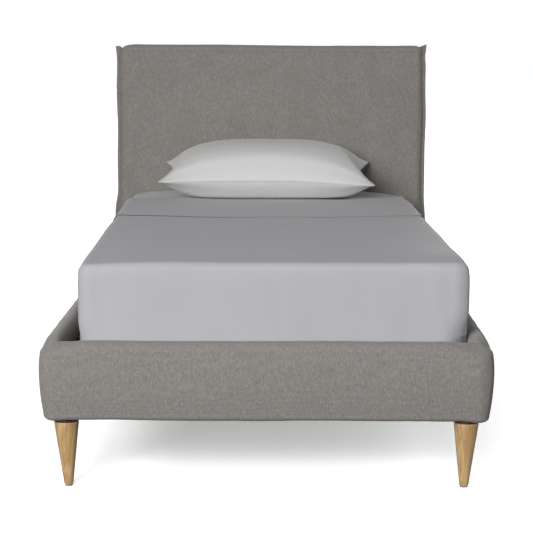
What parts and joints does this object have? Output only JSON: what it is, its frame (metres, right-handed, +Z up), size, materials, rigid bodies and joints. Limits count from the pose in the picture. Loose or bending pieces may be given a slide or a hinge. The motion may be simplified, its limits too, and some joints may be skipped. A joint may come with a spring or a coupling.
{
  "type": "upholstered platform bed",
  "caption": "Single upholstered platform bed with flanged headboard, padded rails, tapered wooden legs, slats, mattress, sheets and pillow.",
  "frame": {"origin": "on the floor under the middle of the bed's bounding box", "axes": "+Z up, +Y from the foot to the headboard, +X to the right seen from the foot"},
  "size_m": [1.11, 2.07, 1.077],
  "materials": {
    "upholstery_fabric": "matte",
    "upholstery_foam": "matte",
    "frame_timber": "matte",
    "plywood": "matte",
    "leg_wood": "satin",
    "leg_collar_stain": "satin",
    "glide_plastic": "matte",
    "zinc_steel": "satin",
    "black_steel": "satin",
    "webbing": "matte",
    "mattress_ticking": "matte",
    "fitted_sheet_cotton": "matte",
    "flat_sheet_cotton": "matte",
    "pillow_filling": "matte",
    "pillowcase_cotton": "matte"
  },
  "bodies": {
    "bed_frame": {"foot_rail_cover": "upholstery_fabric", "left_rail_cover": "upholstery_fabric", "right_rail_cover": "upholstery_fabric", "headboard_cover": "upholstery_fabric", "headboard_back_cloth": "upholstery_fabric", "headboard_flange_left": "upholstery_fabric", "headboard_flange_right": "upholstery_fabric", "foot_rail_foam": "upholstery_foam", "left_rail_foam": "upholstery_foam", "right_rail_foam": "upholstery_foam", "headboard_foam": "upholstery_foam", "foot_rail_board": "frame_timber", "left_rail_board": "frame_timber", "right_rail_board": "frame_timber", "headboard_stile_left": "frame_timber", "headboard_stile_right": "frame_timber", "headboard_top_rail": "frame_timber", "headboard_middle_rail": "frame_timber", "headboard_bottom_rail": "frame_timber", "slat_ledger_left": "frame_timber", "slat_ledger_right": "frame_timber", "centre_beam": "frame_timber", "support_leg_front": "frame_timber", "support_leg_rear": "frame_timber", "corner_block_left": "frame_timber", "corner_block_right": "frame_timber", "headboard_panel": "plywood", "slats": "plywood", "leg_front_left": "leg_wood", "leg_front_right": "leg_wood", "leg_rear_left": "leg_wood", "leg_rear_right": "leg_wood", "leg_collar_front_left": "leg_collar_stain", "leg_collar_front_right": "leg_collar_stain", "leg_collar_rear_left": "leg_collar_stain", "leg_collar_rear_right": "leg_collar_stain", "leg_glide_front_left": "glide_plastic", "leg_glide_front_right": "glide_plastic", "leg_glide_rear_left": "glide_plastic", "leg_glide_rear_right": "glide_plastic", "bracket_screws": "zinc_steel", "headboard_bolts": "zinc_steel", "leg_hanger_bolts": "zinc_steel", "leg_inserts": "zinc_steel", "leveler_nuts": "zinc_steel", "foot_brackets": "black_steel", "head_brackets": "black_steel", "beam_saddles": "black_steel", "slat_straps": "webbing"},
    "mattress": {"mattress": "mattress_ticking", "fitted_sheet": "fitted_sheet_cotton", "flat_sheet": "flat_sheet_cotton"},
    "pillow": {"pillow": "pillow_filling", "pillowcase": "pillowcase_cotton"},
    "front_leveler_pad": {"leveler_pad_front": "glide_plastic"},
    "front_leveler_stem": {"leveler_stem_front": "zinc_steel"},
    "rear_leveler_pad": {"leveler_pad_rear": "glide_plastic"},
    "rear_leveler_stem": {"leveler_stem_rear": "zinc_steel"}
  },
  "joints": [
    {"name": "mattress_lift", "type": "slide", "parent": "bed_frame", "child": "mattress", "axis": [0, 0, 1], "range_m": [0, 0.35]},
    {"name": "pillow_lift", "type": "slide", "parent": "mattress", "child": "pillow", "axis": [0, 0, 1], "range_m": [0, 0.25]},
    {"name": "front_leveler_travel", "type": "slide", "parent": "bed_frame", "child": "front_leveler_pad", "axis": [0, 0, 1], "range_m": [-0.01, 0.012]},
    {"name": "front_leveler_turn", "type": "hinge", "parent": "front_leveler_pad", "child": "front_leveler_stem", "pos_m": [0, -0.25, 0], "axis": [0, 0, 1], "range_deg": [-2882, 3458]},
    {"name": "rear_leveler_travel", "type": "slide", "parent": "bed_frame", "child": "rear_leveler_pad", "axis": [0, 0, 1], "range_m": [-0.01, 0.012]},
    {"name": "rear_leveler_turn", "type": "hinge", "parent": "rear_leveler_pad", "child": "rear_leveler_stem", "pos_m": [0, 0.25, 0], "axis": [0, 0, 1], "range_deg": [-2882, 3458]}
  ],
  "couplings": [
    {"joint": "front_leveler_turn", "follows": "front_leveler_travel", "rad_per_m": 5026.5},
    {"joint": "rear_leveler_turn", "follows": "rear_leveler_travel", "rad_per_m": 5026.5}
  ]
}
